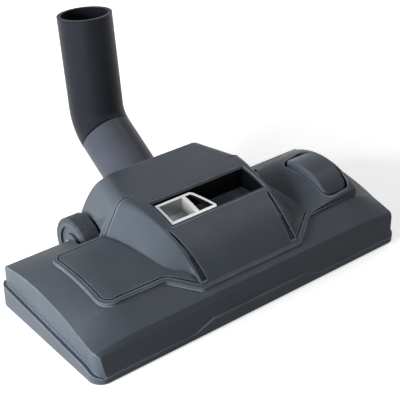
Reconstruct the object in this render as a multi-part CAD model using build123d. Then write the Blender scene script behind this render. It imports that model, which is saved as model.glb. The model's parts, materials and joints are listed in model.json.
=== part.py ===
from build123d import *
import os
from math import asin, cos, degrees, hypot, radians, sin, sqrt

# Vacuum floor brush head. X runs across the head, Y to the rear and Z up.
# The origin lies on the floor, in the middle of the head, on the face of the sole plate.

# Head and lower rim
head_width = 270.0
head_depth = 118.0
head_corner = 9.0
rim_lift = 0.8
rim_wall = 4.6
rim_proud = 2.5
seam_low = 5.0
seam_high = 10.5
seam_step_half = 42.0
seam_ramp = 15.0
seam_end_front = 9.5
seam_end_rear = 17.0

# Housing section, front to rear
shell_wall = 2.2
face_top = 20.7
face_draft = 2.7
chamfer_run = 2.8
chamfer_rise = 4.5
deck_run = 19.0
deck_rise = 11.4
crest_lead = 34.5
crest_rise = 3.5
rear_slope = 6.0
rear_inset = 1.5
rear_edge_z = 32.0
rear_wall_z = 27.0
end_blend = 36.0
end_steps = 4
end_drop_chamfer = 2.6
end_drop_deck = 9.4
end_drop_crest = 5.2
edge_round = 1.2

# Bays at the rear for the wheels and the barrel
wheel_bay_half = 82.0
wheel_bay_front = 37.0
barrel_bay_half = 60.2
barrel_bay_front = 26.0

# Top cover
cover_wall = 2.2
cover_half = 112.0
cover_rear = 33.5
cover_lead = 23.5
cover_corner = 10.0
shoulder_half = 64.3
tongue_half = 43.5
tongue_lead = 9.0
tongue_corner = 5.0
line_width = 1.1
line_depth = 0.9
line_inset = 3.0
ridge_line_out = 1.8
ridge_line_width = 4.6
ridge_line_lead = 4.0
ridge_line_depth = 1.4
ridge_line_steps = 6

# Saddle and hood
saddle_top = 63.6
saddle_flat_y = 25.0
saddle_lip = 1.2
ridge_half = 53.5
ridge_y = 31.0
ridge_round = 1.0
ridge_round_rear = 9.0
flank_step = 1.0
flank_front_half = 61.5
flank_rear_half = 66.5
flank_run_out = 1.9
flank_turn_lead = 7.0
flank_soft = 4.5
flank_spread = 0.52
foot_sink = 0.8
hollow_lead = 20.0
saddle_steps = 15
hood_rear_y = 64.5
hood_rear_half = 44.0
hood_round = 12.0
hood_bulge_y = 73.8
hood_bulge_z = 44.0
hood_low_y = 70.0
hood_low_z = 22.0
cheek_half = 59.5
cheek_bottom = 6.0
axle_slot_gap = 1.0
window_lead = 6.0
window_inset = 8.0

# Recess, tray and slider
recess_left = -39.2
recess_right = 44.6
recess_front = -10.8
recess_rear = 15.0
tray_wall = 1.6
tray_floor = 47.2
tray_sink = 0.6
vent_count = 4
vent_lead = 6.0
vent_pitch = 5.0
vent_width = 2.4
vent_length = 12.0
slider_length = 38.5
slider_rear_gap = 1.5
slider_sink = 1.2
slider_rim = 2.2
slider_bar = 3.0
slider_plate = 3.6
slider_bar_at = 25.0
slider_nose = 6.2
slider_nose_round = 2.0
slider_spring_width = 4.0
pocket_floor = 50.0
fit_gap = 0.3
seat_gap = 0.1

# Pedal and its collar
collar_start = 64.0
collar_rise = 13.0
collar_front_share = 0.33
collar_rear_share = 0.6
collar_lead = 0.3
collar_rear = 30.0
collar_steps = 4
collar_edge = 1.8
pedal_width = 23.6
pedal_side = 3.4
pedal_lead = 5.0
pedal_rear = 14.0
pedal_crest = 57.0
pedal_front_z = 43.0
pedal_rear_z = 52.5
pedal_base = 34.0
pedal_corner = 6.0
pedal_edge = 2.0
pedal_pivot_y = -2.0
pedal_pivot_z = 31.5
pedal_pin_radius = 2.0
pedal_gap = 0.8
pedal_front_gap = 2.5
pedal_rear_gap = 3.0
ear_width = 3.0
lug_width = 4.5
lug_lead = 2.6
spring_strip = 0.6
spring_post_depth = 4.0

# Chassis floor, sole and bristles
sole_thickness = 2.0
floor_thickness = 2.5
sole_side = 16.0
sole_lead = 2.7
sole_tail = 1.2
mouth_half = 38.0
mouth_front = 5.0
mouth_rear = 22.0
channel_side = 7.0
channel_width = 8.0
picker_width = 8.0
picker_side = 19.0
picker_lead = 8.0
picker_tail = 5.5
picker_lift = 0.2
brush_side = 15.0
brush_lead = 11.0
brush_tail = 1.8
brush_inner = 65.0
brush_bar = 6.0
brush_slot_gap = 1.3
bristle_tip = 1.5
bristle_length = 6.0
tuft_pitch = 6.0
tuft_size = 3.4
carrier_bottom = 9.0
carrier_top = 15.0
carrier_arm = 4.0
arm_side = 6.5
arm_width = 7.0
guide_radius = 2.4
guide_y = 12.0
strip_inset = 1.0

# Neck, barrel and duct
pivot_y = 59.5
pivot_z = 20.5
neck_tilt = 32.5
neck_length = 75.0
neck_radius = 20.5
neck_bore = 17.0
barrel_radius = 29.0
barrel_wall = 2.4
barrel_half = 44.5
barrel_low = -9.0
barrel_high = 132.0
stub_radius = 5.0
stub_length = 6.8
running_gap = 0.05
press_gap = 0.02
hub_radius = 9.0
duct_half = 41.5
duct_wall = 2.0
duct_front = 3.0
duct_front_z = 22.0
duct_gap = 1.0
seal_span = 7.0
duct_mouth_low = -12.0
duct_mouth_high = 74.0
duct_roof_end = 150.0
tongue_rear = 78.8
tongue_width_half = 57.0

# Bearing blocks, axles and wheels
block_inner = 46.0
block_outer = 56.0
block_length = 20.0
cap_height = 8.5
axle_radius = 3.0
axle_head = 5.0
axle_head_length = 1.8
wheel_inner = 61.0
wheel_width = 14.0
wheel_radius = 20.5
tyre_depth = 3.0
wheel_rim = 3.0
wheel_dish = 2.0
screw_radius = 1.5
screw_head = 3.0
screw_head_height = 1.2
screw_slot = 0.8
screw_slot_depth = 0.7
screw_wall = 0.8
screw_front_y = -25.0
screw_rear_offset = 30.0

# Elbow and swivel
elbow_radius = 20.6
elbow_bore = 16.9
elbow_bend = 50.0
bend_radius = 26.0
socket_radius = 17.75
socket_depth = 50.0
elbow_straight = 72.0
spigot_radius = 18.9
spigot_length = 12.0
swivel_ring_radius = 19.35
swivel_ring_width = 1.6
swivel_groove = 1.0
rail_start = 6.0
rail_length = 37.0
rail_height = 8.0
rail_stem = 8.0
rail_head = 14.0
rail_head_depth = 3.5

# Derived places
head_half = head_width / 2
front_y = -head_depth / 2
body_half = head_half - rim_proud
floor_top = sole_thickness + floor_thickness
chamfer_y = front_y + face_draft + chamfer_run
chamfer_z = face_top + chamfer_rise
deck_rear_y = chamfer_y + deck_run
deck_rear_z = chamfer_z + deck_rise
deck_slope = deck_rise / deck_run
crest_y = deck_rear_y + crest_lead
crest_z = deck_rear_z + crest_rise
rear_wall_y = -front_y - rear_inset
rear_edge_y = rear_wall_y - rear_slope
cover_front = front_y + cover_lead
tongue_front = front_y + tongue_lead
saddle_front = tongue_front + saddle_lip
collar_front = cover_front + collar_lead
pedal_right = cover_half - pedal_side
pedal_left = pedal_right - pedal_width
pedal_front = cover_front + pedal_lead
arm_x = pedal_left + arm_side
brush_half = head_half - brush_side
brush_front_y = front_y + brush_lead
brush_rear_y = wheel_bay_front - shell_wall - brush_bar / 2 - brush_tail
sole_half = head_half - sole_side
sole_front = brush_front_y + brush_bar / 2 + brush_slot_gap + sole_lead
sole_rear = brush_rear_y - brush_bar / 2 - brush_slot_gap - sole_tail
channel_half = sole_half - channel_side
picker_half = sole_half - picker_side
picker_front_y = sole_front + picker_lead
picker_rear_y = sole_rear - picker_tail
cover_drop = cover_wall * hypot(1, deck_slope)
barrel_bore = barrel_radius - barrel_wall
duct_radius = barrel_bore - duct_gap
wheel_outer = wheel_inner + wheel_width
far = 400.0


def outline(points):
    """Flat face inside a closed run of straight lines."""
    return make_face(Polyline(*points, close=True))


def side_prism(face, x0, x1):
    """Extrude a Y-Z outline from x0 to x1."""
    return extrude(Plane.YZ.offset(x0) * face, amount=x1 - x0)


def front_prism(face, y0, y1):
    """Extrude an X-Z outline from y0 to y1."""
    plane = Plane((0, y1, 0), x_dir=(1, 0, 0), z_dir=(0, -1, 0))
    return extrude(plane * face, amount=y1 - y0)


def plan_prism(face, z0, z1):
    """Extrude an X-Y outline from z0 to z1."""
    return extrude(Pos(0, 0, z0) * face, amount=z1 - z0)


def block(x0, x1, y0, y1, z0, z1):
    """Box between two corners."""
    centre = Pos((x0 + x1) / 2, (y0 + y1) / 2, (z0 + z1) / 2)
    return centre * Box(abs(x1 - x0), abs(y1 - y0), abs(z1 - z0))


def rod_x(radius, x0, x1, y, z):
    """Cylinder along X."""
    return Pos((x0 + x1) / 2, y, z) * Rot(0, 90, 0) * Cylinder(radius, abs(x1 - x0))


def rod_z(radius, x, y, z0, z1):
    """Upright cylinder."""
    return Pos(x, y, (z0 + z1) / 2) * Cylinder(radius, abs(z1 - z0))


def around_pivot(radius, angle):
    """Y-Z point on a circle about the neck's pivot, angle in degrees above the rear."""
    return (pivot_y + radius * cos(radians(angle)), pivot_z + radius * sin(radians(angle)))


def pivot_sector(radius, low, high):
    """Y-Z pie slice about the neck's pivot."""
    arc = ThreePointArc(
        around_pivot(radius, low), around_pivot(radius, (low + high) / 2), around_pivot(radius, high)
    )
    tip = (pivot_y, pivot_z)
    return make_face([Line(tip, arc @ 0), arc, Line(arc @ 1, tip)])


def mirrored(shape):
    """The same piece on the other side of the head."""
    return mirror(shape, about=Plane.YZ)


def hump_height(y, lift):
    """Height of the housing's hump at y, raised along its normal by lift."""
    x1, z1 = deck_rear_y, deck_rear_z
    x2, z2 = crest_y, crest_z
    x3, z3 = rear_edge_y, rear_edge_z
    det = 2 * (x1 * (z2 - z3) + x2 * (z3 - z1) + x3 * (z1 - z2))
    s1, s2, s3 = x1**2 + z1**2, x2**2 + z2**2, x3**2 + z3**2
    centre_y = (s1 * (z2 - z3) + s2 * (z3 - z1) + s3 * (z1 - z2)) / det
    centre_z = (s1 * (x3 - x2) + s2 * (x1 - x3) + s3 * (x2 - x1)) / det
    radius = hypot(x1 - centre_y, z1 - centre_z) + lift
    return centre_z + sqrt(radius**2 - (y - centre_y) ** 2)


def deck_height(y):
    """Height of the sloping front deck, carried on past the hump."""
    return chamfer_z + (y - chamfer_y) * deck_slope


def saddle_height(y):
    """Height of the saddle's top: an arc from the tongue's front up to the flat part."""
    if y >= saddle_flat_y:
        return saddle_top
    rise = saddle_top - deck_height(saddle_front) - cover_drop + foot_sink
    run = saddle_flat_y - saddle_front
    radius = (run**2 + rise**2) / (2 * rise)
    return saddle_top - radius + sqrt(radius**2 - (saddle_flat_y - y) ** 2)


def ridge_at(y):
    """Half width of the saddle's top at y."""
    share = (y - tongue_front) / (ridge_y - tongue_front)
    return tongue_half + (ridge_half - tongue_half) * share**2


def foot_at(y):
    """Half width of the saddle's foot at y: it runs out to the shoulders, then along them."""
    reach = (y - cover_front) / (ridge_y - cover_front)
    along = flank_front_half + (flank_rear_half - flank_front_half) * reach**2
    out = flank_front_half + flank_soft + flank_run_out * (y - cover_front - flank_turn_lead)
    foot = (along + out) / 2 - hypot((along - out) / 2, flank_soft)
    least = ridge_at(y)
    return (foot + least) / 2 + hypot((foot - least) / 2, flank_step)


def housing_section(fade, grow):
    """Y-Z outline of the housing, full at fade 0 and lowest at fade 1, grown by an even offset."""
    hump_front = (deck_rear_y, deck_rear_z - fade * end_drop_deck)
    hump_rear = (rear_edge_y, rear_edge_z)
    deep = -head_depth
    edges = Polyline(
        hump_rear,
        (rear_wall_y, rear_wall_z),
        (rear_wall_y, deep),
        (front_y, deep),
        (front_y, 0),
        (front_y + face_draft, face_top),
        (chamfer_y, chamfer_z - fade * end_drop_chamfer),
        hump_front,
    )
    hump = ThreePointArc(hump_front, (crest_y, crest_z - fade * end_drop_crest), hump_rear)
    face = make_face([edges, hump])
    if grow == 0:
        ridges = [v for v in face.vertices() if v.Y > face_top / 2 and abs(v.X - deck_rear_y) > 1]
        return fillet(ridges, edge_round)
    return offset(face, amount=grow, kind=Kind.INTERSECTION)


def housing_form(grow):
    """Solid inside the housing's outer skin, grown by an even offset."""
    inner_x = body_half - end_blend
    form = side_prism(housing_section(0, grow), -inner_x, inner_x)
    sections = []
    for i in range(end_steps + 1):
        share = i / end_steps
        plane = Plane.YZ.offset(inner_x + share * (end_blend + grow))
        sections.append(plane * housing_section(share**2, grow))
    end = loft(sections)
    return form + end + mirrored(end)


def housing_plan(grow):
    """Plan of the housing: rounded block with bays for the wheels and the barrel."""
    plan = RectangleRounded(2 * (body_half + grow), head_depth + 2 * grow, head_corner + grow)
    for half, front in ((wheel_bay_half, wheel_bay_front), (barrel_bay_half, barrel_bay_front)):
        depth = head_depth - front
        plan -= Pos(0, front + grow + depth / 2) * Rectangle(2 * (half - grow), depth)
    return plan


def seam_form():
    """Everything below the line where the chassis rim meets the housing."""
    low = block(-far, far, -far, far, -far, seam_low)
    step = outline(
        [
            (-seam_step_half - seam_ramp, seam_low),
            (-seam_step_half, seam_high),
            (seam_step_half, seam_high),
            (seam_step_half + seam_ramp, seam_low),
        ]
    )
    front = front_prism(step, -far, front_y + rim_wall)
    rise = outline(
        [
            (front_y, seam_low),
            (front_y + seam_ramp, seam_end_front),
            (-front_y, seam_end_rear),
            (-front_y, seam_low),
        ]
    )
    end = side_prism(rise, head_half - rim_wall, far)
    return low + front + end + mirrored(end)


def chassis_plan():
    """Plan of the chassis: the head, the wheel bays and the tongue under the neck."""
    plan = RectangleRounded(head_width, head_depth, head_corner)
    depth = head_depth - wheel_bay_front
    plan -= Pos(0, wheel_bay_front + depth / 2) * Rectangle(2 * wheel_bay_half, depth)
    tongue = tongue_rear - mouth_rear
    plan += Pos(0, tongue_rear - tongue / 2) * Rectangle(2 * tongue_width_half, tongue)
    return plan


def brush_bars(gap, z0, z1):
    """Bars that carry the bristles: one across the front, two at the rear."""
    half = brush_bar / 2 + gap
    front = block(
        -brush_half - gap, brush_half + gap, brush_front_y - half, brush_front_y + half, z0, z1
    )
    rear = block(brush_inner - gap, brush_half + gap, brush_rear_y - half, brush_rear_y + half, z0, z1)
    return front, rear


def screw_places():
    """Plan points of the screws that hold the chassis to the housing."""
    front = (body_half - shell_wall - screw_head - seat_gap, screw_front_y)
    rear = (wheel_bay_half + screw_rear_offset, (wheel_bay_front - front_y) / 2)
    return [(side * x, y) for side in (-1, 1) for x, y in (front, rear)]


def bearing_screw_places():
    """Plan points of the screws that hold the bearing caps."""
    x = (block_inner + block_outer) / 2
    reach = stub_radius + running_gap + screw_radius + screw_wall
    return [(side * x, pivot_y + step) for side in (-1, 1) for step in (-reach, reach)]


def make_chassis():
    plan = chassis_plan()
    rim = plan - offset(plan, amount=-rim_wall, kind=Kind.INTERSECTION)
    body = plan_prism(rim, rim_lift, seam_end_rear) & seam_form()
    body += plan_prism(plan, sole_thickness, floor_top)
    seat = duct_half + fit_gap
    body -= block(-seat, seat, duct_front, tongue_rear, floor_top, seam_low)
    for side in (1, -1):
        outer = side * block_outer
        inner = side * block_inner
        half = block_length / 2
        body += block(inner, outer, pivot_y - half, pivot_y + half, sole_thickness, pivot_z)
        body += rod_z(guide_radius, side * arm_x, guide_y, sole_thickness, carrier_top + carrier_arm)
    left, right, front, rear, top = spring_post()
    body += block(left, right, front, rear, sole_thickness, top)
    body -= bearing_bores()
    front, rear = brush_bars(brush_slot_gap, 0, seam_low)
    cut = block(-mouth_half, mouth_half, mouth_front, mouth_rear, 0, floor_top)
    cut += front + rear + mirrored(rear)
    for x, y in screw_places():
        cut += rod_z(screw_radius + seat_gap, x, y, 0, floor_top)
    for x, y in bearing_screw_places():
        cut += rod_z(screw_radius, x, y, floor_top, pivot_z)
    return body - cut


def bearing_bores():
    """Bores for the neck's pivot stubs and the wheel axles, on one axis."""
    stub_end = barrel_half + stub_length + fit_gap
    bore = rod_x(stub_radius + running_gap, 0, stub_end, pivot_y, pivot_z)
    bore += rod_x(axle_radius + press_gap, stub_end, far, pivot_y, pivot_z)
    return bore + mirrored(bore)


def make_bearing_cap():
    half = block_length / 2
    cap = block(block_inner, block_outer, pivot_y - half, pivot_y + half, pivot_z, pivot_z + cap_height)
    edges = cap.edges().filter_by(Axis.X).group_by(Axis.Z)[-1]
    cap = chamfer(edges, cap_height / 4)
    cap -= bearing_bores()
    for x, y in bearing_screw_places():
        cap -= rod_z(screw_radius, x, y, 0, far)
    return cap


def make_sole_plate():
    half_y = (sole_rear - sole_front) / 2
    outer = RectangleRounded(2 * sole_half, 2 * half_y, head_corner)
    plate = Pos(0, (sole_rear + sole_front) / 2) * outer
    plate -= Pos(0, mouth_front + channel_width / 2) * SlotOverall(2 * channel_half, channel_width)
    mouth_y = (mouth_front + mouth_rear) / 2
    plate -= Pos(0, mouth_y) * Rectangle(2 * mouth_half, mouth_rear - mouth_front)
    for pad in picker_plans(seat_gap):
        plate -= pad
    return plan_prism(plate, 0, sole_thickness)


def picker_plans(gap):
    """Plans of the three lint pickers: front, rear left and rear right."""
    inner = mouth_half + picker_width
    length = picker_half - inner
    front = Pos(0, picker_front_y) * Rectangle(2 * (picker_half + gap), picker_width + 2 * gap)
    pads = [front]
    for side in (-1, 1):
        rear = Rectangle(length + 2 * gap, picker_width - 1 + 2 * gap)
        pads.append(Pos(side * (inner + length / 2), picker_rear_y) * rear)
    return pads


def make_body_shell():
    shell = housing_form(0) & plan_prism(housing_plan(0), 0, far)
    core = housing_form(-shell_wall) & plan_prism(housing_plan(-shell_wall), -far, far)
    for x, y in screw_places():
        core -= rod_z(screw_head, x, y, floor_top, far)
    for ear in pedal_ears():
        core -= ear
    shell -= core
    shell -= seam_form()
    for x, y in screw_places():
        shell += rod_z(screw_head, x, y, floor_top, seam_end_rear)
        shell -= rod_z(screw_radius, x, y, 0, seam_end_rear)
    shell -= block(-barrel_bay_half, barrel_bay_half, mouth_front, far, 0, far)
    window = barrel_bay_half - shell_wall - window_inset
    shell -= block(-window, window, recess_front - window_lead, barrel_bay_front, 0, far)
    shell -= pedal_opening()
    left, right = pin_ends()
    return shell - rod_x(pedal_pin_radius, left, right, pedal_pivot_y, pedal_pivot_z)


def pin_ends():
    """X range of the rocker pin, held by the two ears."""
    return pedal_left - pedal_gap - ear_width, pedal_right + pedal_gap + ear_width


def pedal_ears():
    """Two ears under the housing's roof that hold the rocker pin."""
    low = pedal_pivot_z - 2 * pedal_pin_radius
    half = 2.5 * pedal_pin_radius
    ears = []
    for x in (pedal_left - pedal_gap - ear_width, pedal_right + pedal_gap):
        ears.append(block(x, x + ear_width, pedal_pivot_y - half, pedal_pivot_y + half, low, far))
    return ears


def pedal_plan(side, front, rear):
    """Plan of the rocker, grown by a different gap at the sides, front and rear."""
    y0 = pedal_front - front
    y1 = pedal_rear + rear
    face = RectangleRounded(pedal_width + 2 * side, y1 - y0, pedal_corner + side)
    return Pos((pedal_left + pedal_right) / 2, (y0 + y1) / 2) * face


def pedal_opening():
    """Opening that the rocker swings in."""
    return plan_prism(pedal_plan(pedal_gap, pedal_front_gap, pedal_rear_gap), 0, far)


def cover_plan(inset):
    """Plan of the shoulders and the front tongue of the cover."""
    points = [
        (cover_half - 2, cover_rear),
        (cover_half, cover_front),
        (shoulder_half, cover_front - 1),
        (tongue_half, tongue_front),
    ]
    points += [(-x, y) for x, y in reversed(points)]
    face = outline(points)
    face = fillet([v for v in face.vertices() if abs(v.X) > shoulder_half + 1], cover_corner)
    face = fillet([v for v in face.vertices() if abs(v.X) < shoulder_half + 1], tongue_corner)
    if inset == 0:
        return face
    return offset(face, amount=-inset)


def flank_section(y, inset):
    """X-Z outline of the saddle at y: flat top, flanks and foot."""
    top = saddle_height(y)
    under = deck_height(y) + cover_drop if y < deck_rear_y else hump_height(y, cover_wall)
    base = rear_wall_z - 3 * inset
    foot_z = under - 2 * foot_sink
    points = [(foot_at(y), base), (foot_at(y), foot_z), (ridge_at(y), top)]
    points += [(-x, z) for x, z in reversed(points)]
    face = outline(points)
    if inset > 0:
        face = offset(face, amount=-inset, kind=Kind.INTERSECTION)
    ridges = face.vertices().group_by(Axis.Y)[-1]
    share = (y - tongue_front) / (ridge_y - tongue_front)
    round_out = ridge_round + (ridge_round_rear - ridge_round) * share**3
    round_out = max(min(round_out, (top - foot_z) / 2) - inset, ridge_round / 4)
    face = fillet(ridges, round_out)
    plane = Plane((0, y, 0), x_dir=(1, 0, 0), z_dir=(0, -1, 0))
    return plane * face


def saddle_form(inset):
    """Saddle ahead of the ridge corners, lofted through sections along Y; hollow behind the tongue."""
    start = saddle_front if inset == 0 else recess_front - hollow_lead
    step = (ridge_y - start) / saddle_steps
    return loft([flank_section(start + step * i, inset) for i in range(saddle_steps + 1)])


def hood_form(inset):
    """Hood behind the ridge corners, with flanks that spread downwards."""
    rear = hood_bulge_y + hood_round
    taper = (ridge_half - hood_rear_half) / (hood_rear_y - ridge_y)
    thin = inset * hypot(1, flank_spread)
    front = ridge_y - inset / 5
    top = saddle_top - inset
    drop = saddle_top - cheek_bottom
    rings = []
    for z, spread in ((cheek_bottom - inset, drop + inset), (top, inset)):
        front_half = ridge_half + flank_spread * spread - thin
        rear_half = front_half - taper * (rear - front)
        ring = outline(
            [(-front_half, front), (front_half, front), (rear_half, rear), (-rear_half, rear)]
        )
        rings.append(Pos(0, 0, z) * ring)
    form = loft(rings, ruled=True)
    sides = form.edges().group_by(Axis.Z)[-1].filter_by(Axis.X, reverse=True)
    form = fillet(sides, hood_round - inset)
    step_y = wheel_bay_front + fit_gap - inset
    cheek = cheek_half - inset
    for x in (cheek, -far):
        form -= block(x, x + far - cheek, step_y, far, -far, far)
    form -= block(-far, far, -far, step_y, -far, rear_wall_z)
    return form


def hood_rear_cut():
    """What is open behind the hood, with a rounded rear edge on the cheeks."""
    edge = ThreePointArc(
        (hood_rear_y, saddle_top - cover_wall), (hood_bulge_y, hood_bulge_z), (hood_low_y, hood_low_z)
    )
    rest = Polyline(edge @ 1, (hood_low_y, -far), (far, -far), (far, far), (hood_rear_y, far), edge @ 0)
    return side_prism(make_face([edge, rest]), -far, far)


def collar_section(x):
    """Y-Z outline of the swelling round the rocker at x."""
    share = (x - collar_start) / (cover_half - collar_start)
    lift = (collar_rise + foot_sink) * share * (2 - share) - foot_sink
    arc = ThreePointArc(
        (collar_front, hump_height(deck_rear_y, cover_wall) + collar_front_share * lift),
        (pedal_pivot_y, hump_height(pedal_pivot_y, cover_wall) + lift),
        (collar_rear, hump_height(collar_rear, cover_wall) + collar_rear_share * lift),
    )
    walls = Polyline(arc @ 1, (collar_rear, rear_wall_z), (collar_front, rear_wall_z), arc @ 0)
    return Plane.YZ.offset(x) * make_face([arc, walls])


def collar_form():
    """Swelling of the right shoulder, from the saddle's foot up to the rocker."""
    step = (cover_half - collar_start) / collar_steps
    form = loft([collar_section(collar_start + step * i) for i in range(collar_steps + 1)])
    outer = form.edges().group_by(Axis.X)[-1].sort_by(Axis.Z)[-1]
    return fillet(outer, collar_edge)


def cover_skin():
    """Outer form of the cover, filled down to the housing."""
    skin = housing_form(cover_wall) & plan_prism(cover_plan(0), 0, far)
    skin += saddle_form(0)
    skin += hood_form(0)
    skin += collar_form()
    return skin


def cover_lines(skin):
    """Grooves: one beside the edge of the shoulders, one inside each ridge."""
    ring = cover_plan(line_inset) - cover_plan(line_inset + line_width)
    ring -= Rectangle(2 * tongue_half, 2 * head_depth)
    ring -= Pos(collar_start + cover_half, 0) * Rectangle(2 * cover_half, 2 * head_depth)
    edge_lines = sunk(plan_prism(ring, 0, far), skin, line_depth)
    outer, inner = [], []
    front = tongue_front + ridge_line_lead
    for i in range(ridge_line_steps + 1):
        share = i / ridge_line_steps
        y = front + share * (recess_front - front)
        edge = ridge_at(y) - ridge_line_out
        outer.append((edge, y))
        if share < 1:
            inner.append((edge - ridge_line_width * sqrt(1 - share), y))
    groove = plan_prism(outline(outer + inner[::-1]), 0, far)
    return edge_lines + sunk(groove + mirrored(groove), skin, ridge_line_depth)


def sunk(lines, skin, depth):
    """The part of some upright lines that lies just under the skin."""
    return (lines & skin) - Pos(0, 0, -depth) * skin


def make_top_cover(skin):
    cover = skin - (housing_form(0) & block(-far, far, -far, wheel_bay_front, -far, far))
    hollow = saddle_form(cover_wall) + hood_form(cover_wall)
    cover -= hollow
    cover -= hood_rear_cut()
    cover -= pedal_opening()
    cover -= plan_prism(outline(recess_corners(0)), rear_wall_z, far)
    cover -= cover_lines(skin)
    slot = axle_radius + axle_slot_gap
    for side in (-1, 1):
        cover -= rod_x(slot, side * block_outer, side * wheel_inner, pivot_y, pivot_z)
        cover -= block(
            side * block_outer, side * wheel_inner, pivot_y - slot, pivot_y + slot, -far, pivot_z
        )
    return cover


def recess_corners(inset):
    """Plan corners of the recess, drawn in by inset."""
    left, right = recess_left + inset, recess_right - inset
    front, rear = recess_front + inset, recess_rear - inset
    return [(left, front), (right, front), (right, rear), (left, rear)]


def make_slider_tray(skin):
    tray = plan_prism(outline(recess_corners(seat_gap)), tray_floor - tray_wall, far)
    tray -= plan_prism(outline(recess_corners(seat_gap + tray_wall)), tray_floor, far)
    tray &= Pos(0, 0, -tray_sink) * skin
    vent_y = (recess_front + recess_rear) / 2
    for i in range(vent_count):
        vent_x = recess_left + vent_lead + vent_pitch * i
        tray -= Pos(vent_x, vent_y, tray_floor) * Box(vent_width, vent_length, 3 * tray_wall)
    return tray


def slider_place():
    """Plan edges of the slider at the left end of its travel."""
    inset = seat_gap + tray_wall + fit_gap
    left = recess_left + inset
    return left, left + slider_length, recess_front + inset, recess_rear - inset - slider_rear_gap


def make_slider(skin):
    left, right, front, rear = slider_place()
    bar = left + slider_bar_at
    tip = right - slider_nose
    turn = slider_nose_round
    plan = [
        (left, front),
        (right, front),
        (right + turn / 2, front + turn),
        (tip, rear - turn),
        (tip - turn, rear),
        (left, rear),
    ]
    body = plan_prism(outline(plan), tray_floor + fit_gap, far)
    body &= Pos(0, 0, -slider_sink) * skin
    body -= Pos(0, 0, -slider_sink - slider_plate) * skin & block(bar, far, -far, far, 0, far)
    pocket_front, pocket_rear = front + slider_rim, rear - slider_rim
    pocket_left, pocket_right = left + slider_rim, bar - slider_bar
    pocket = block(pocket_left, pocket_right, pocket_front, pocket_rear, pocket_floor, far)
    relief_top = pocket_floor - tray_wall
    relief = block(pocket_left, pocket_right, pocket_front, pocket_rear, 0, relief_top)
    window = [
        (bar, pocket_front),
        (right - slider_rim / 2, pocket_front),
        (tip - slider_rim, rear - slider_rim - turn / 2),
        (tip - slider_rim - turn / 2, pocket_rear),
        (bar, pocket_rear),
    ]
    return body - pocket - relief - plan_prism(outline(window), 0, far)


def make_slider_spring():
    edge, _, front, rear = slider_place()
    left = edge + slider_rim + fit_gap
    right = edge + slider_bar_at - slider_bar - fit_gap
    low = tray_floor + fit_gap
    high = pocket_floor - tray_wall - press_gap
    middle = (left + right) / 2
    upper = ThreePointArc((left, high), (middle, low + spring_strip), (right, high))
    lower = ThreePointArc((left, high - spring_strip), (middle, low), (right, high - spring_strip))
    ends = [Line(upper @ 0, lower @ 0), Line(upper @ 1, lower @ 1)]
    y = (front + rear) / 2
    half = slider_spring_width / 2
    return front_prism(make_face([upper, lower] + ends), y - half, y + half)


def rocker_profile(lower):
    """Y-Z outline of the rocker's dome, drawn in by lower."""
    arc = ThreePointArc(
        (pedal_front + lower, pedal_front_z - lower),
        (pedal_pivot_y, pedal_crest - lower),
        (pedal_rear - lower, pedal_rear_z - lower),
    )
    base = pedal_base - 2 * lower
    walls = Polyline(arc @ 1, (pedal_rear - lower, base), (pedal_front + lower, base), arc @ 0)
    return make_face([arc, walls])


def make_pedal():
    dome = side_prism(rocker_profile(0), pedal_left, pedal_right)
    dome &= plan_prism(pedal_plan(0, 0, 0), 0, far)
    dome = fillet(dome.faces().sort_by(Axis.Z)[-1].edges(), pedal_edge)
    hollow = side_prism(rocker_profile(shell_wall), pedal_left, pedal_right)
    hollow &= plan_prism(pedal_plan(-shell_wall, -shell_wall, -shell_wall), 0, far)
    pedal = dome - hollow
    middle = (pedal_left + pedal_right) / 2
    half = 2.5 * pedal_pin_radius
    hub = block(
        middle - half,
        middle + half,
        pedal_pivot_y - half,
        pedal_pivot_y + half,
        pedal_pivot_z - 2 * pedal_pin_radius,
        pedal_crest,
    )
    lug_front = pedal_front + lug_lead
    lug = block(
        arm_x - lug_width / 2,
        arm_x + lug_width / 2,
        lug_front,
        lug_front + lug_width,
        carrier_top + fit_gap,
        pedal_crest,
    )
    pedal += (hub + lug) & side_prism(rocker_profile(0) + lug_reach(), pedal_left, pedal_right)
    return pedal - rod_x(pedal_pin_radius + running_gap, 0, far, pedal_pivot_y, pedal_pivot_z)


def lug_reach():
    """Y-Z room below the dome for the rocker's hub and lug."""
    return outline(
        [(pedal_front, pedal_base), (pedal_rear, pedal_base), (pedal_rear, 0), (pedal_front, 0)]
    )


def make_pedal_pin():
    left, right = pin_ends()
    return rod_x(pedal_pin_radius - press_gap, left, right, pedal_pivot_y, pedal_pivot_z)


def spring_post():
    """X range, Y range and height of the post that carries the rocker's leaf spring."""
    left = arm_x + arm_width / 2 + 2 * fit_gap
    right = pedal_right - shell_wall - fit_gap
    front = pedal_pivot_y + 3 * pedal_pin_radius
    return left, right, front, front + spring_post_depth, pedal_base - fit_gap - spring_strip


def make_pedal_spring():
    left, right, front, _, top = spring_post()
    return block(left, right, front, pedal_rear, top, top + spring_strip)


def make_brush_carrier():
    front, rear = brush_bars(0, carrier_bottom, carrier_top)
    arm_low = carrier_top - carrier_arm
    half = arm_width / 2
    arm = block(arm_x - half, arm_x + half, brush_front_y, brush_rear_y, arm_low, carrier_top)
    arm -= rod_z(guide_radius + fit_gap, arm_x, guide_y, 0, far)
    side = rear + arm
    return front + side + mirrored(side)


def bristle_strip(x0, x1, y):
    """Backing strip with a row of tufts."""
    half = brush_bar / 2 - fit_gap
    root = bristle_tip + bristle_length
    strip = block(x0, x1, y - half, y + half, root, carrier_bottom)
    count = int((x1 - x0) / tuft_pitch)
    for i in range(count):
        x = (x0 + x1) / 2 + (i - (count - 1) / 2) * tuft_pitch
        size = tuft_size / 2
        strip += block(x - size, x + size, y - size, y + size, bristle_tip, root)
    return strip


def make_front_bristles():
    return bristle_strip(strip_inset - brush_half, brush_half - strip_inset, brush_front_y)


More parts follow.
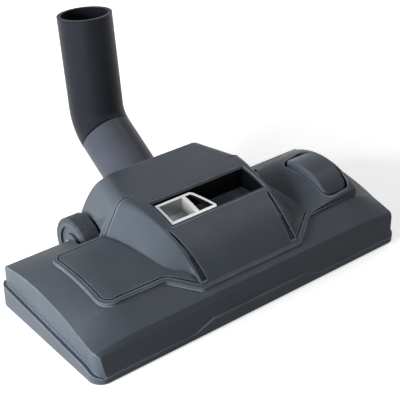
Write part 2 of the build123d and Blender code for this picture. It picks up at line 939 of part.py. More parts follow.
def make_rear_bristles():
    strip = bristle_strip(brush_inner + strip_inset, brush_half - strip_inset, brush_rear_y)
    return strip + mirrored(strip)


def duct_section(inset):
    """Y-Z outline of the duct, drawn in by inset and carried down through the floor."""
    radius = duct_radius - inset
    base = floor_top - inset
    low = -degrees(asin((pivot_z - base) / radius))
    arc = ThreePointArc(
        around_pivot(radius, low),
        around_pivot(radius, (low + duct_roof_end) / 2),
        around_pivot(radius, duct_roof_end),
    )
    front = duct_front + inset
    walls = Polyline(arc @ 1, (front, duct_front_z - inset), (front, base), arc @ 0)
    return make_face([arc, walls])


def make_suction_duct():
    inner = duct_half - duct_wall
    duct = side_prism(duct_section(0), -duct_half, duct_half)
    duct -= side_prism(duct_section(duct_wall), -inner, inner)
    return duct - side_prism(pivot_sector(far, duct_mouth_low, duct_mouth_high), -inner, inner)


def make_neck_seal():
    lip_face = pivot_sector(barrel_bore - fit_gap, duct_mouth_high, duct_mouth_high + seal_span)
    lip = side_prism(lip_face, -duct_half, duct_half)
    return lip - rod_x(duct_radius, -far, far, pivot_y, pivot_z)


def neck_plane(along):
    """Plane square to the neck's axis, at a distance from the pivot."""
    lean = radians(neck_tilt)
    return Plane(
        (0, pivot_y + along * cos(lean), pivot_z + along * sin(lean)),
        x_dir=(1, 0, 0),
        z_dir=(0, cos(lean), sin(lean)),
    )


def neck_disc(radius, start, end):
    """Cylinder along the neck's axis between two distances from the pivot."""
    return extrude(neck_plane(start) * Circle(radius), amount=end - start)


def make_neck():
    slice_face = pivot_sector(barrel_radius, barrel_low, barrel_high)
    neck = side_prism(slice_face, -barrel_half, barrel_half)
    sweep = side_prism(pivot_sector(far, barrel_low, barrel_high), -barrel_half, barrel_half)
    neck += neck_disc(neck_radius, barrel_bore / 2, neck_length - fit_gap) & sweep
    inner = barrel_half - barrel_wall
    neck -= rod_x(barrel_bore, -inner, inner, pivot_y, pivot_z)
    neck -= neck_disc(neck_bore, barrel_bore / 2, neck_length)
    socket = neck_length - spigot_length - fit_gap
    neck -= neck_disc(spigot_radius + running_gap, socket, neck_length)
    ring_at = neck_length - spigot_length * 2 / 3
    neck -= neck_disc(
        swivel_ring_radius + fit_gap, ring_at - fit_gap, ring_at + swivel_ring_width + fit_gap
    )
    for side in (-1, 1):
        face = side * barrel_half
        neck += rod_x(hub_radius, face - side * barrel_wall, face, pivot_y, pivot_z)
        neck += rod_x(stub_radius, face, face + side * stub_length, pivot_y, pivot_z)
    return neck


def bend_centre():
    """Y-Z centre of the elbow's bend."""
    lean = radians(neck_tilt)
    seam = neck_plane(neck_length).origin
    return (seam.Y - bend_radius * sin(lean), seam.Z + bend_radius * cos(lean))


def upper_plane(along):
    """Plane square to the elbow's upper run, at a distance from the end of the bend."""
    rise = radians(neck_tilt + elbow_bend)
    y, z = bend_centre()
    start_y = y + bend_radius * sin(rise)
    start_z = z - bend_radius * cos(rise)
    return Plane(
        (0, start_y + along * cos(rise), start_z + along * sin(rise)),
        x_dir=(1, 0, 0),
        z_dir=(0, cos(rise), sin(rise)),
    )


def elbow_run(radius):
    """Round bar along the elbow's bend and upper run."""
    y, z = bend_centre()
    turn = Axis((0, y, z), (1, 0, 0))
    bend = revolve(neck_plane(neck_length) * Circle(radius), turn, elbow_bend)
    return bend + extrude(upper_plane(0) * Circle(radius), amount=elbow_straight)


def parking_rail():
    """Rail on the back of the elbow that hangs the head on the cleaner."""
    back = elbow_radius + rail_height
    stem_depth = rail_height - rail_head_depth + elbow_bore / 4
    stem_y = back - rail_head_depth - stem_depth / 2
    stem = upper_plane(rail_start) * (Pos(0, stem_y) * Rectangle(rail_stem, stem_depth))
    head_y = back - rail_head_depth / 2
    head = upper_plane(rail_start) * (Pos(0, head_y) * Rectangle(rail_head, rail_head_depth))
    rail = extrude(stem, amount=rail_length) + extrude(head, amount=rail_length)
    slope = Plane(
        (upper_plane(rail_start) * Pos(0, back, rail_height)).position,
        x_dir=(1, 0, 0),
        z_dir=upper_plane(0).z_dir - upper_plane(0).y_dir,
    )
    return split(rail, bisect_by=slope, keep=Keep.TOP)


def make_elbow():
    elbow = elbow_run(elbow_radius) + parking_rail()
    elbow += neck_disc(spigot_radius, neck_length - spigot_length, neck_length)
    elbow -= elbow_run(elbow_bore)
    elbow -= neck_disc(elbow_bore, neck_length - spigot_length, neck_length)
    socket = upper_plane(elbow_straight - socket_depth) * Circle(socket_radius)
    elbow -= extrude(socket, amount=socket_depth)
    return elbow - ring_band(neck_radius) - seal_band(neck_radius)


def groove_band(start, width, radius):
    """Ring about the neck's axis, from the floor of a spigot groove out to radius."""
    band = neck_disc(radius, start, start + width)
    return band - neck_disc(spigot_radius - swivel_groove, start, start + width)


def ring_band(radius):
    return groove_band(neck_length - spigot_length * 2 / 3, swivel_ring_width, radius)


def seal_band(radius):
    return groove_band(neck_length - spigot_length / 3, swivel_ring_width, radius)


def make_wheel():
    radius = wheel_radius - tyre_depth
    hub = rod_x(radius, wheel_inner, wheel_outer, pivot_y, pivot_z)
    floor = wheel_outer - wheel_dish
    dish = rod_x(radius - wheel_rim, floor, wheel_outer, pivot_y, pivot_z)
    dish -= rod_x(hub_radius, floor, wheel_outer, pivot_y, pivot_z)
    return hub - dish - rod_x(axle_radius + running_gap, 0, far, pivot_y, pivot_z)


def make_tyre():
    tyre = rod_x(wheel_radius, wheel_inner, wheel_outer, pivot_y, pivot_z)
    tyre = chamfer(tyre.edges(), tyre_depth / 3)
    return tyre - rod_x(wheel_radius - tyre_depth + press_gap, 0, far, pivot_y, pivot_z)


def make_wheel_axle():
    start = barrel_half + stub_length + 2 * fit_gap
    head = wheel_outer + fit_gap
    axle = rod_x(axle_radius, start, head, pivot_y, pivot_z)
    return axle + rod_x(axle_head, head, head + axle_head_length, pivot_y, pivot_z)


def make_screw(x, y, head_z, length, side):
    """Cross-head screw with its head at head_z and its shank running up or down."""
    head_end = head_z - side * screw_head_height
    head = rod_z(screw_head, x, y, head_z, head_end)
    for turn in (0, 90):
        head -= Pos(x, y, head_end) * Rot(0, 0, turn) * Box(screw_head, screw_slot, 2 * screw_slot_depth)
    return head + rod_z(screw_radius - press_gap, x, y, head_z, head_z + side * length)


def make_housing_screws():
    length = seam_end_rear - sole_thickness - fit_gap
    return Compound(
        children=[make_screw(x, y, sole_thickness, length, 1) for x, y in screw_places()]
    )


def make_bearing_screws():
    top = pivot_z + cap_height
    length = top - floor_top - fit_gap
    return Compound(
        children=[make_screw(x, y, top, length, -1) for x, y in bearing_screw_places()]
    )


def make_parts():
    skin = cover_skin()
    pads = picker_plans(0)
    parts = {
        "chassis": make_chassis(),
        "sole_plate": make_sole_plate(),
        "body_shell": make_body_shell(),
        "top_cover": make_top_cover(skin),
        "slider_tray": make_slider_tray(skin),
        "slider": make_slider(skin),
        "slider_spring": make_slider_spring(),
        "pedal": make_pedal(),
        "pedal_pin": make_pedal_pin(),
        "pedal_spring": make_pedal_spring(),
        "brush_carrier": make_brush_carrier(),
        "front_bristles": make_front_bristles(),
        "rear_bristles": make_rear_bristles(),
        "suction_duct": make_suction_duct(),
        "neck_seal": make_neck_seal(),
        "neck": make_neck(),
        "elbow": make_elbow(),
        "swivel_ring": ring_band(swivel_ring_radius),
        "swivel_seal": seal_band(spigot_radius + running_gap / 2),
        "housing_screws": make_housing_screws(),
        "bearing_screws": make_bearing_screws(),
    }
    for name, pad in zip(("front", "rear_left", "rear_right"), pads):
        parts[f"lint_picker_{name}"] = plan_prism(pad, picker_lift, sole_thickness)
    pairs = {
        "bearing_cap": make_bearing_cap(),
        "wheel_axle": make_wheel_axle(),
        "wheel": make_wheel(),
        "tyre": make_tyre(),
    }
    for name, right in pairs.items():
        parts[f"{name}_right"] = right
        parts[f"{name}_left"] = mirrored(right)
    return parts


os.makedirs("parts", exist_ok=True)
for name, shape in make_parts().items():
    export_step(shape, f"parts/{name}.step")
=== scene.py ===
import json
from math import cos, pi, radians, sin, sqrt
from random import Random

import bpy
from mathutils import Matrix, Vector


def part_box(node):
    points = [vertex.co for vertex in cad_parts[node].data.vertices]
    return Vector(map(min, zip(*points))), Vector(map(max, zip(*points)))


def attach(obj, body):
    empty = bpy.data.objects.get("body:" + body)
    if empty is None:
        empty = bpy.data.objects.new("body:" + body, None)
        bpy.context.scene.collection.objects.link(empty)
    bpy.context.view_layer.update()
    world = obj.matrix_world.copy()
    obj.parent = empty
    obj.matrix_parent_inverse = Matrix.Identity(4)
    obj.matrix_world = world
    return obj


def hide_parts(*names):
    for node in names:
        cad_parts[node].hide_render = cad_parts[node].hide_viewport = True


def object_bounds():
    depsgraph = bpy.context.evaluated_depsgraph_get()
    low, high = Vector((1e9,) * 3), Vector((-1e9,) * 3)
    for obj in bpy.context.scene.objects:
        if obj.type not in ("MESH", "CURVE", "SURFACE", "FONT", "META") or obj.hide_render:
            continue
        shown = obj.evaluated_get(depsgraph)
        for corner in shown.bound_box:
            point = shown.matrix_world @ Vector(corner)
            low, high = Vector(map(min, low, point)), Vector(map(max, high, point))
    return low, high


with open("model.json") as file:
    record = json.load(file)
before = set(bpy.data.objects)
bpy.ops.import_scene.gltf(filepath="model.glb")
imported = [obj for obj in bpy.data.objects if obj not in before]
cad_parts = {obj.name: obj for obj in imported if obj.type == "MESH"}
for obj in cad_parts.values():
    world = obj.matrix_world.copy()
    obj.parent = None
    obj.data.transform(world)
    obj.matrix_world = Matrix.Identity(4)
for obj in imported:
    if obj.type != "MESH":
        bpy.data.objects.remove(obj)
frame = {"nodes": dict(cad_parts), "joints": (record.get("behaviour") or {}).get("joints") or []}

# Vacuum floor brush head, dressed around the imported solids. Lengths are metres.
cad_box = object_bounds()
nodes = frame["nodes"]
picker_nodes = ["lint_picker_front", "lint_picker_rear_left", "lint_picker_rear_right"]
mm = 0.001

# Camera, fitted to the corners of the head in the photograph
camera_azimuth = 38.85
camera_pitch = 30.90
camera_place = (-0.4026, -0.4918, 0.4383)
camera_lens = 96.5
sensor_width = 36.0

# Colours, linear
slate = (0.060, 0.071, 0.086)
tube_grey = (0.009, 0.0105, 0.0145)
# Neck: the elbow's plastic painted lighter, as light falling from above
neck_painted_lit_grey = (0.052, 0.057, 0.072)
wheel_grey = (0.062, 0.070, 0.082)
tray_slate = (0.062, 0.071, 0.086)
black = (0.008, 0.009, 0.010)
silver = (0.74, 0.75, 0.76)
# Silver painted darker on upright walls, as shade
silver_shaded_wall = (0.38, 0.38, 0.385)
rubber_black = (0.016, 0.016, 0.018)
tyre_slate = (0.036, 0.041, 0.048)
steel_grey = (0.52, 0.52, 0.54)
natural_nylon = (0.45, 0.45, 0.43)
bristle_dark = (0.022, 0.022, 0.024)
pile_dark = (0.050, 0.048, 0.052)

# Range that most of a noise lies in
noise_low, noise_high = 0.3, 0.7

# Moulded plastic: gloss, erosion grain, cloudy shade and patches of polish
plastic_gloss = 0.13
tray_gloss = 0.06
# Tray walls are painted near black, as shade
tray_wall_painted_shade = 0.3
grain_size = 0.35 * mm
grain_height = 0.05 * mm
cloud_size = 18 * mm
cloud_dark, cloud_light = 0.94, 1.06
polish_size = 6 * mm
polish_swing = 0.04

# Painted highlights along the housing's edges and painted shade in its hollows: how far they
# reach, how strong they are, and their shades
highlight_reach = 1.2 * mm
hollow_shade_reach = 4 * mm
painted_light_share = 1.7
painted_light_samples = 8
painted_edge_highlight = 2.2
painted_hollow_shade = 0.3

# Painted shadow in the gap between the neck and the elbow
seam_shadow_reach = 0.6 * mm
painted_seam_shadow = 0.4
seam_shadow_edge = 0.1

# Lacquer: share of the flakes, left end of the window, and the levels of walls and top. Painted
# shade makes the walls greyer than the top, and black in the window.
flake_share = 0.3
window_from = -14.1 * mm
wall_from, wall_to, top_from = 0.06, 0.22, 0.5
lower_wall_painted_shade = 0.9

# Bevels, with their widths in mm. They reach only the few sharp edges whose faces share points.
edge_widths = {"body_shell": 0.5, "top_cover": 0.6}
edge_segments = 3
edge_angle = radians(32)

# Bristle strips, their eyelets and filaments; jitter and scatter are in mm
bristle_seeds = {"front_bristles": 11, "rear_bristles": 12}
strip_height = 1.5 * mm
strip_cut = 0.8 * mm
strip_chamfer = 0.3 * mm
tuft_pitch = 6 * mm
tuft_radius = 1.55 * mm
tuft_count = 40
strip_gap = 4 * tuft_pitch
eyelet_sides = 12
eyelet_out, eyelet_mouth = 0.35 * mm, 1.75 * mm
eyelet_in, eyelet_root = 0.1 * mm, 2.1 * mm
golden_turn = 2.39996
filament_sides = 4
filament_radius = 0.13 * mm
filament_splay = 0.5 * mm
filament_jitter = 0.15
filament_scatter = 0.35
filament_profile = ((1.0, 0.6), (0.5, 0.9), (0.0, 1.0))

# Pile strips and their fibres; jitter and scatter are in mm
pile_seed = 21
felt_height = 0.7 * mm
felt_shoulder = 0.4 * mm
felt_chamfer = 0.15 * mm
felt_cut = 0.9 * mm
fibre_sides = 3
fibre_spacing = 0.34 * mm
fibre_radius = 0.10 * mm
fibre_lean = 0.55 * mm
fibre_margin = 0.35 * mm
fibre_sink = 0.1 * mm
fibre_jitter = 0.12
fibre_scatter = 0.3
lean_along = (0.3, 1.0)
lean_across = (-0.5, 0.5)

# Lamps: name, place, target, size, power in watts, and whether gloss mirrors them
head_middle = (0, 0.03, 0.04)
left_end = (-0.08, 0, 0.02)
lamps = [
    ("key_lamp", (-1.30, 0.06, 0.35), head_middle, 0.7, 41, False),
    ("front_lamp", (-0.50, -0.26, 0.16), left_end, 0.25, 0.7, True),
    ("top_lamp", (0.66, -0.10, 1.05), head_middle, 0.45, 2.4, True),
    ("side_lamp", (1.20, 0.30, 0.20), head_middle, 0.5, 7, False),
    ("back_lamp", (0.15, 1.30, 0.22), head_middle, 0.5, 8, False),
]
world_fill = 0.045

# Floor: its size, how much it returns to the object, and how it looks
floor_half = 6
floor_drop = 0.05 * mm
floor_rough = 0.9
floor_return = 0.18
floor_seen = 0.86
floor_lift = 0.50
floor_white_from = 0.30
floor_white_at = 0.75

# Patch of floor in the dark under the head
patch_drop = 0.03 * mm
patch_inset = (8 * mm, 3 * mm)
patch_grain = 4 * mm
patch_dark = (0.20, 0.20, 0.20)
patch_light = (0.24, 0.24, 0.24)


class Nodes:
    """Short way to build one material's node tree."""

    def __init__(self, name):
        self.material = bpy.data.materials.new(name)
        self.material.use_nodes = True
        self.tree = self.material.node_tree
        self.shader = self.tree.nodes["Principled BSDF"]
        self.place = self.add("ShaderNodeTexCoord").outputs["Object"]

    def add(self, kind, **inputs):
        node = self.tree.nodes.new(kind)
        for name, value in inputs.items():
            node.inputs[name].default_value = value
        return node

    def link(self, source, target):
        self.tree.links.new(source, target)

    def set(self, socket, value):
        """Constant on one of the shader's sockets."""
        self.shader.inputs[socket].default_value = value

    def math(self, operation, *sources):
        """Result of one operation on outputs and plain numbers."""
        node = self.add("ShaderNodeMath")
        node.operation = operation
        for socket, source in zip(node.inputs, sources):
            if isinstance(source, bpy.types.NodeSocket):
                self.link(source, socket)
            else:
                socket.default_value = source
        return node.outputs["Value"]

    def span(self, source, low, high, start=0.0, end=1.0):
        """Number that goes from low to high while the source goes from start to end."""
        node = self.add("ShaderNodeMapRange")
        node.inputs["From Min"].default_value = start
        node.inputs["From Max"].default_value = end
        node.inputs["To Min"].default_value = low
        node.inputs["To Max"].default_value = high
        self.link(source, node.inputs["Value"])
        return node.outputs["Result"]

    def noise(self, size, detail=2.0, stretch=(1, 1, 1)):
        """Noise with grains of about the given size in metres."""
        node = self.add("ShaderNodeTexNoise", Scale=1 / size, Detail=detail)
        mapping = self.add("ShaderNodeMapping", Scale=stretch)
        self.link(self.place, mapping.inputs["Vector"])
        self.link(mapping.outputs["Vector"], node.inputs["Vector"])
        return node.outputs["Fac"]

    def upward(self):
        """1 on faces that look up, 0 on upright walls, in the piece's own frame."""
        axes = self.add("ShaderNodeSeparateXYZ")
        self.link(self.add("ShaderNodeTexCoord").outputs["Normal"], axes.inputs["Vector"])
        return axes.outputs["Z"]

    def blend(self, first, second, share):
        """First source with a share of the second mixed in."""
        node = self.add("ShaderNodeMix", Factor=share)
        self.link(first, node.inputs["A"])
        self.link(second, node.inputs["B"])
        return node.outputs["Result"]

    def right_of(self, x):
        """1 on the part of the piece to the right of x, else 0."""
        axes = self.add("ShaderNodeSeparateXYZ")
        self.link(self.place, axes.inputs["Vector"])
        return self.math("GREATER_THAN", axes.outputs["X"], x)

    def near_plane(self, axis, level, reach):
        """1 within reach of the plane that crosses the axis at a level, else 0."""
        along = self.add("ShaderNodeVectorMath")
        along.operation = "DOT_PRODUCT"
        along.inputs[1].default_value = axis
        self.link(self.place, along.inputs[0])
        return self.math("COMPARE", along.outputs["Value"], level, reach)

    def openness(self, reach, inside):
        """Below 1 in hollows or, measured inside the wall, along outer edges."""
        node = self.add("ShaderNodeAmbientOcclusion", Distance=reach)
        node.inside = inside
        node.only_local = True
        node.samples = painted_light_samples
        return node.outputs["AO"]

    def highlighted_and_shaded(self, source):
        """Source raised along outer edges as a painted highlight, and lowered in hollows as
        painted shade.
        """
        hollows = self.openness(hollow_shade_reach, inside=False)
        edges = self.openness(highlight_reach, inside=True)
        painted_light = self.math("SUBTRACT", hollows, edges)
        return self.math("MULTIPLY_ADD", painted_light, painted_light_share, source)

    def lowered(self, source, mask, amount):
        """Source less an amount where the mask is 1."""
        return self.math("MULTIPLY_ADD", mask, -amount, source)

    def ramp(self, source, stops):
        """Base colour through a row of (position, colour) stops."""
        node = self.add("ShaderNodeValToRGB")
        elements = node.color_ramp.elements
        for _ in stops[2:]:
            elements.new(1.0)
        for element, (position, colour) in zip(elements, stops):
            element.position = position
            element.color = (*colour, 1)
        self.link(source, node.inputs["Fac"])
        self.link(node.outputs["Color"], self.shader.inputs["Base Color"])

    def shades(self, source, dark, light):
        """Base colour between two shades, over the range of a noise."""
        self.ramp(source, [(noise_low, dark), (noise_high, light)])

    def roughness(self, source, low, high):
        """Roughness between two limits, over the range of a noise."""
        level = self.span(source, low, high, noise_low, noise_high)
        self.link(level, self.shader.inputs["Roughness"])

    def bump(self, source, height, strength):
        node = self.add("ShaderNodeBump", Strength=strength, Distance=height)
        self.link(source, node.inputs["Height"])
        self.link(node.outputs["Normal"], self.shader.inputs["Normal"])


def scaled(colour, factor):
    return tuple(c * factor for c in colour)


def moulded_plastic(name, colour, rough, seam=None, painted_edges=False):
    """Spark-eroded satin plastic, with a painted shadow at a seam or else painted highlights
    along edges and painted shade in hollows.
    """
    made = Nodes(name)
    cloud = made.noise(cloud_size, detail=3)
    dark, light = scaled(colour, cloud_dark), scaled(colour, cloud_light)
    plain = [(noise_low, dark), (noise_high, light)]
    if seam:
        # Painted shadow: the band along the seam is darkened to black, as shade in the gap
        # between the parts
        joint = made.lowered(cloud, made.near_plane(*seam), 1.0)
        made.ramp(joint, [(0.0, scaled(black, painted_seam_shadow)), (seam_shadow_edge, dark), *plain])
    elif painted_edges:
        edge_highlight, hollow_shadow = scaled(colour, painted_edge_highlight), scaled(colour, painted_hollow_shade)
        made.ramp(made.highlighted_and_shaded(cloud), [(0.0, hollow_shadow), *plain, (1.0, edge_highlight)])
    else:
        made.ramp(cloud, plain)
    made.roughness(made.noise(polish_size, detail=4), rough - polish_swing, rough + polish_swing)
    made.bump(made.noise(grain_size, detail=3), grain_height, strength=0.25)
    made.set("Specular IOR Level", plastic_gloss)
    return made.material


def tray_plastic(name, shaded_wall, floor):
    """Matt tub, with painted shade that makes its upright walls black against a lighter floor."""
    made = Nodes(name)
    # Painted shade: upright walls are darker than the floor
    made.shades(made.upward(), shaded_wall, floor)
    made.roughness(made.noise(5 * mm, detail=4), low=0.6, high=0.7)
    made.bump(made.noise(grain_size, detail=3), grain_height, strength=0.3)
    made.set("Specular IOR Level", tray_gloss)
    return made.material


def lacquer(name, shaded_wall, colour):
    """Silver lacquer with fine flakes; painted shade makes the pocket's walls greyer and the
    window's walls black.
    """
    made = Nodes(name)
    flaked = made.blend(made.upward(), made.noise(0.12 * mm), flake_share)
    # Painted shade: right of the window's left end the level is lowered, so the walls there turn
    # black and the opening reads dark
    level = made.lowered(flaked, made.right_of(window_from), flake_share)
    shaded_walls = [(wall_from, scaled(shaded_wall, lower_wall_painted_shade)), (wall_to, shaded_wall)]
    made.ramp(level, [(0.0, black), *shaded_walls, (top_from, colour)])
    made.roughness(made.noise(5 * mm, detail=3), low=0.28, high=0.36)
    made.bump(made.noise(0.4 * mm), height=0.02 * mm, strength=0.15)
    made.set("Metallic", 0.3)
    made.set("Coat Weight", 0.3)
    made.set("Coat Roughness", 0.2)
    return made.material


def rubber(name, colour):
    """Matt rubber with a dusty bloom."""
    made = Nodes(name)
    made.shades(made.noise(3 * mm, detail=5), scaled(colour, 0.85), scaled(colour, 1.5))
    made.roughness(made.noise(2 * mm, detail=4), low=0.68, high=0.85)
    made.bump(made.noise(0.5 * mm, detail=4), height=0.06 * mm, strength=0.4)
    return made.material


def drawn_steel(name, colour):
    """Drawn steel, with fine lines along X."""
    made = Nodes(name)
    lines = made.noise(0.3 * mm, stretch=(0.03, 1, 1))
    made.shades(lines, scaled(colour, 0.85), scaled(colour, 1.1))
    made.roughness(lines, low=0.24, high=0.38)
    made.bump(lines, height=0.01 * mm, strength=0.2)
    made.set("Metallic", 1.0)
    return made.material


def filament(name, colour):
    """Dark nylon filament in slightly different shades."""
    made = Nodes(name)
    made.shades(made.noise(1.2 * mm), scaled(colour, 0.7), scaled(colour, 1.6))
    made.roughness(made.noise(1.5 * mm), low=0.4, high=0.55)
    return made.material


def pile(name, colour):
    """Short velvet pile."""
    made = Nodes(name)
    made.shades(made.noise(0.8 * mm, detail=4), scaled(colour, 0.6), scaled(colour, 1.5))
    made.roughness(made.noise(0.8 * mm), low=0.85, high=0.95)
    made.bump(made.noise(0.4 * mm, detail=3), height=0.15 * mm, strength=0.6)
    made.set("Sheen Weight", 0.4)
    return made.material


def swivel_seam():
    """Axis and level of the joint between the neck and the elbow, and half width of the painted
    shadow along it.
    """
    swivel = next(joint for joint in frame["joints"] if joint["name"] == "elbow_swivel")
    axis = Vector(swivel["axis"])
    return axis, max(axis.dot(v.co) for v in nodes["neck"].data.vertices), seam_shadow_reach


def dress():
    """One material for each node."""
    seam = swivel_seam()
    # The housing gets painted highlights along its edges and painted shade in its hollows
    body = moulded_plastic("slate_plastic", slate, 0.37, painted_edges=True)
    tube = moulded_plastic("tube_plastic", tube_grey, 0.44, seam=seam)
    dark = moulded_plastic("black_plastic", black, 0.55)
    looks = {
        body: ["chassis", "body_shell", "top_cover", "pedal"],
        tube: ["elbow"],
        # Neck painted lighter than the elbow, as light from above
        moulded_plastic("neck_plastic_painted_lit", neck_painted_lit_grey, 0.40, seam=seam): ["neck"],
        dark: [
            "sole_plate",
            "suction_duct",
            "brush_carrier",
            "bearing_cap_left",
            "bearing_cap_right",
        ],
        moulded_plastic("wheel_plastic", wheel_grey, 0.5): ["wheel_left", "wheel_right"],
        tray_plastic("tray_plastic", scaled(black, tray_wall_painted_shade), tray_slate): ["slider_tray"],
        lacquer("silver_lacquer", silver_shaded_wall, silver): ["slider"],
        moulded_plastic("natural_nylon", natural_nylon, 0.5): ["swivel_ring"],
        rubber("soft_rubber", rubber_black): ["neck_seal", "swivel_seal"],
        rubber("tyre_rubber", tyre_slate): ["tyre_left", "tyre_right"],
        drawn_steel("drawn_steel", steel_grey): [
            "pedal_pin",
            "pedal_spring",
            "slider_spring",
            "wheel_axle_left",
            "wheel_axle_right",
            "housing_screws",
            "bearing_screws",
        ],
        filament("bristle_nylon", bristle_dark): ["front_bristles", "rear_bristles"],
        pile("picker_pile", pile_dark): picker_nodes,
    }
    for material, names in looks.items():
        for name in names:
            mesh = nodes[name].data
            mesh.materials.clear()
            mesh.materials.append(material)


def soften():
    """Narrow bevels on the edges that two faces share."""
    for name, width in edge_widths.items():
        bevel = nodes[name].modifiers.new("soft_edges", "BEVEL")
        bevel.width = width * mm
        bevel.segments = edge_segments
        bevel.limit_method = "ANGLE"
        bevel.angle_limit = edge_angle
        bevel.use_clamp_overlap = True
        bevel.harden_normals = False


class Mesher:
    """Gathers rings of points and the faces between them into one mesh."""

    def __init__(self):
        self.points = []
        self.faces = []

    def ring(self, centre, radius, sides, turn=0.0):
        """Flat ring of points; returns their numbers."""
        first = len(self.points)
        for i in range(sides):
            angle = turn + 2 * pi * i / sides
            self.points.append(
                (centre[0] + radius * cos(angle), centre[1] + radius * sin(angle), centre[2])
            )
        return list(range(first, first + sides))

    def oblong(self, low, high, inset, cut, z):
        """Flat ring round a rectangle, drawn in by inset, with cut corners."""
        first = len(self.points)
        x0, y0 = low[0] + inset, low[1] + inset
        x1, y1 = high[0] - inset, high[1] - inset
        corners = [(x0, y0 + cut), (x0 + cut, y0), (x1 - cut, y0), (x1, y0 + cut)]
        corners += [(x1, y1 - cut), (x1 - cut, y1), (x0 + cut, y1), (x0, y1 - cut)]
        self.points += [(x, y, z) for x, y in corners]
        return list(range(first, first + len(corners)))

    def skin(self, low, high):
        count = len(low)
        for i in range(count):
            j = (i + 1) % count
            self.faces.append((low[i], low[j], high[j], high[i]))

    def stack(self, rings):
        """Closed solid through rings that lie one above the other."""
        self.faces.append(tuple(reversed(rings[0])))
        for low, high in zip(rings, rings[1:]):
            self.skin(low, high)
        self.faces.append(tuple(rings[-1]))

    def spike(self, base, point):
        """Closed spike from a ring to a point."""
        tip = len(self.points)
        self.points.append(point)
        self.faces.append(tuple(base))
        count = len(base)
        for i in range(count):
            self.faces.append((base[i], tip, base[(i + 1) % count]))

    def finish(self, name, body, node):
        """Makes the piece that stands for a node, in that node's material."""
        mesh = bpy.data.meshes.new(name)
        mesh.from_pydata(self.points, [], self.faces)
        mesh.materials.append(nodes[node].data.materials[0])
        piece = bpy.data.objects.new(name, mesh)
        bpy.context.scene.collection.objects.link(piece)
        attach(piece, body)
        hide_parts(node)


def strip_runs(node):
    """(left, right) ends of each strip in a bristle node, by the gaps between its points."""
    places = sorted({round(v.co.x, 5) for v in nodes[node].data.vertices})
    runs = [[places[0], places[0]]]
    for x in places[1:]:
        if x - runs[-1][1] > strip_gap:
            runs.append([x, x])
        runs[-1][1] = x
    return runs


def tuft_places(left, right):
    count = int(round((right - left) / mm, 3) / round(tuft_pitch / mm, 3))
    return [(left + right) / 2 + (i - (count - 1) / 2) * tuft_pitch for i in range(count)]


def plant_tuft(made, rand, x, y, root, lowest):
    """Filaments in a sunflower pattern that spread a little towards their tips."""
    for i in range(tuft_count):
        angle = golden_turn * i
        reach = tuft_radius * sqrt((i + 0.5) / tuft_count)
        splay = filament_splay * reach / tuft_radius
        away_x = splay * cos(angle) + rand.uniform(-filament_jitter, filament_jitter) * mm
        away_y = splay * sin(angle) + rand.uniform(-filament_jitter, filament_jitter) * mm
        start_x = x + reach * cos(angle)
        start_y = y + reach * sin(angle)
        tip = lowest + rand.uniform(0, filament_scatter) * mm
        rings = []
        for share, thick in filament_profile:
            z = root + share * (tip - root)
            bend = share**2
            place = (start_x + bend * away_x, start_y + bend * away_y, z)
            rings.append(made.ring(place, thick * filament_radius, filament_sides, angle))
        made.stack(rings)


def plant_bristles(node, seed):
    """Tufts of nylon filaments set in a chamfered backing strip."""
    rand = Random(seed)
    low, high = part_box(node)
    middle = (low.y + high.y) / 2
    root = high.z - strip_height
    levels = ((root, strip_chamfer), (root + strip_chamfer, 0), (high.z, 0))
    eyelet = ((root - eyelet_out, eyelet_mouth), (root + eyelet_in, eyelet_root))
    made = Mesher()
    for left, right in strip_runs(node):
        corners = (left, low.y), (right, high.y)
        made.stack([made.oblong(*corners, inset, strip_cut, z) for z, inset in levels])
        for x in tuft_places(left, right):
            made.stack([made.ring((x, middle, z), radius, eyelet_sides) for z, radius in eyelet])
            plant_tuft(made, rand, x, middle, root, low.z)
    made.finish(node + "_filaments", "brush", node)


def lay_pile(node, seed):
    """Short leaning fibres on a felt backing with cut corners."""
    rand = Random(seed)
    low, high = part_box(node)
    root = high.z - felt_height
    levels = ((root, felt_chamfer), (high.z - felt_shoulder, 0), (high.z, 0))
    made = Mesher()
    made.stack([made.oblong(low, high, inset, felt_cut, z) for z, inset in levels])
    room = fibre_lean + fibre_margin
    columns = int((high.x - low.x - 2 * room) / fibre_spacing)
    rows = int((high.y - low.y - 2 * room) / fibre_spacing)
    for column in range(columns + 1):
        for row in range(rows + 1):
            stray_x = rand.uniform(-fibre_jitter, fibre_jitter) * mm
            stray_y = rand.uniform(-fibre_jitter, fibre_jitter) * mm
            x = low.x + room + column * fibre_spacing + stray_x
            y = low.y + room + row * fibre_spacing + stray_y
            turn = rand.uniform(0, pi)
            base = made.ring((x, y, root + fibre_sink), fibre_radius, fibre_sides, turn)
            lean_x = fibre_lean * rand.uniform(*lean_along)
            lean_y = fibre_lean * rand.uniform(*lean_across)
            tip = low.z + rand.uniform(0, fibre_scatter) * mm
            made.spike(base, (x + lean_x, y + lean_y, tip))
    made.finish(node + "_pile", "base", node)


def area_lamp(name, place, target, size, power, mirrored):
    """Round soft lamp; one that isn't mirrored gives light but no glare."""
    lamp = bpy.data.lights.new(name, "AREA")
    lamp.shape = "DISK"
    lamp.size = size
    lamp.energy = power
    thing = bpy.data.objects.new(name, lamp)
    bpy.context.scene.collection.objects.link(thing)
    thing.location = place
    thing.rotation_euler = (Vector(target) - Vector(place)).to_track_quat("-Z", "Y").to_euler()
    thing.visible_glossy = mirrored


def seen_directly(tree):
    """1 for what the camera sees, straight, mirrored or through something clear, and else 0."""
    path = tree.nodes.new("ShaderNodeLightPath")
    total = path.outputs["Is Camera Ray"]
    for name in ("Is Glossy Ray", "Is Transmission Ray"):
        either = tree.nodes.new("ShaderNodeMath")
        either.operation = "MAXIMUM"
        tree.links.new(total, either.inputs[0])
        tree.links.new(path.outputs[name], either.inputs[1])
        total = either.outputs["Value"]
    return total


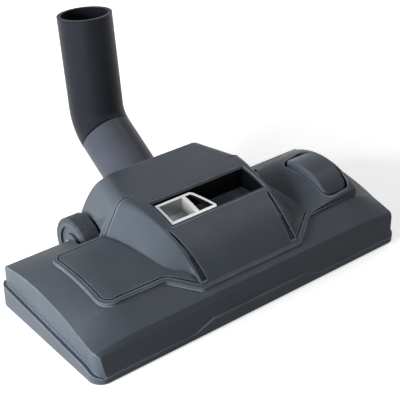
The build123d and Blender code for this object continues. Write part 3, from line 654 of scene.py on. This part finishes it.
def light_scene():
    """Lamps, and a world that looks white but adds little light."""
    for lamp in lamps:
        area_lamp(*lamp)
    world = bpy.data.worlds.new("studio")
    bpy.context.scene.world = world
    world.use_nodes = True
    tree = world.node_tree
    background = tree.nodes["Background"]
    background.inputs["Color"].default_value = (1, 1, 1, 1)
    strength = tree.nodes.new("ShaderNodeMapRange")
    strength.inputs["To Min"].default_value = world_fill
    strength.inputs["To Max"].default_value = 1.0
    tree.links.new(seen_directly(tree), strength.inputs["Value"])
    tree.links.new(strength.outputs["Result"], background.inputs["Strength"])


def stage_plane(name, low, high, drop, material):
    """Flat rectangle of floor, a little below the object's lowest point."""
    mesh = bpy.data.meshes.new(name)
    z = cad_box[0].z - drop
    (x0, y0), (x1, y1) = low, high
    mesh.from_pydata([(x0, y0, z), (x1, y0, z), (x1, y1, z), (x0, y1, z)], [], [(0, 1, 2, 3)])
    mesh.materials.append(material)
    plane = bpy.data.objects.new(name, mesh)
    bpy.context.scene.collection.objects.link(plane)


def pale_floor():
    """Floor that looks lifted, and white further away, but returns little light."""
    look = Nodes("pale_floor")
    seen = seen_directly(look.tree)
    away = look.add("ShaderNodeVectorMath")
    away.operation = "LENGTH"
    look.link(look.place, away.inputs[0])
    lift = look.span(away.outputs["Value"], floor_lift, 1.0, floor_white_from, floor_white_at)
    shade = look.span(seen, floor_return, floor_seen)
    look.link(shade, look.shader.inputs["Base Color"])
    look.link(look.math("MULTIPLY", seen, lift), look.shader.inputs["Emission Strength"])
    look.set("Emission Color", (1, 1, 1, 1))
    look.set("Roughness", floor_rough)
    look.set("Specular IOR Level", 0.0)
    return look.material


def shaded_floor():
    """Floor that isn't lifted."""
    look = Nodes("shaded_floor")
    look.shades(look.noise(patch_grain), patch_dark, patch_light)
    look.set("Roughness", floor_rough)
    return look.material


def lay_floor():
    """Plain pale floor, with a patch under the head that stays dark."""
    near, far = (-floor_half, -floor_half), (floor_half, floor_half)
    stage_plane("floor", near, far, floor_drop, pale_floor())
    low = cad_box[0].xy + Vector(patch_inset)
    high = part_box("sole_plate")[1].xy
    stage_plane("floor_under_head", low, high, patch_drop, shaded_floor())


def place_camera():
    data = bpy.data.cameras.new("camera")
    data.lens = camera_lens
    data.sensor_width = sensor_width
    camera = bpy.data.objects.new("camera", data)
    bpy.context.scene.collection.objects.link(camera)
    camera.location = camera_place
    camera.rotation_euler = (radians(90 - camera_pitch), 0, -radians(camera_azimuth))
    bpy.context.scene.camera = camera


dress()
soften()
for strip, seed in bristle_seeds.items():
    plant_bristles(strip, seed)
for number, picker in enumerate(picker_nodes):
    lay_pile(picker, pile_seed + number)
light_scene()
lay_floor()
place_camera()
bpy.context.scene.view_settings.view_transform = "Standard"
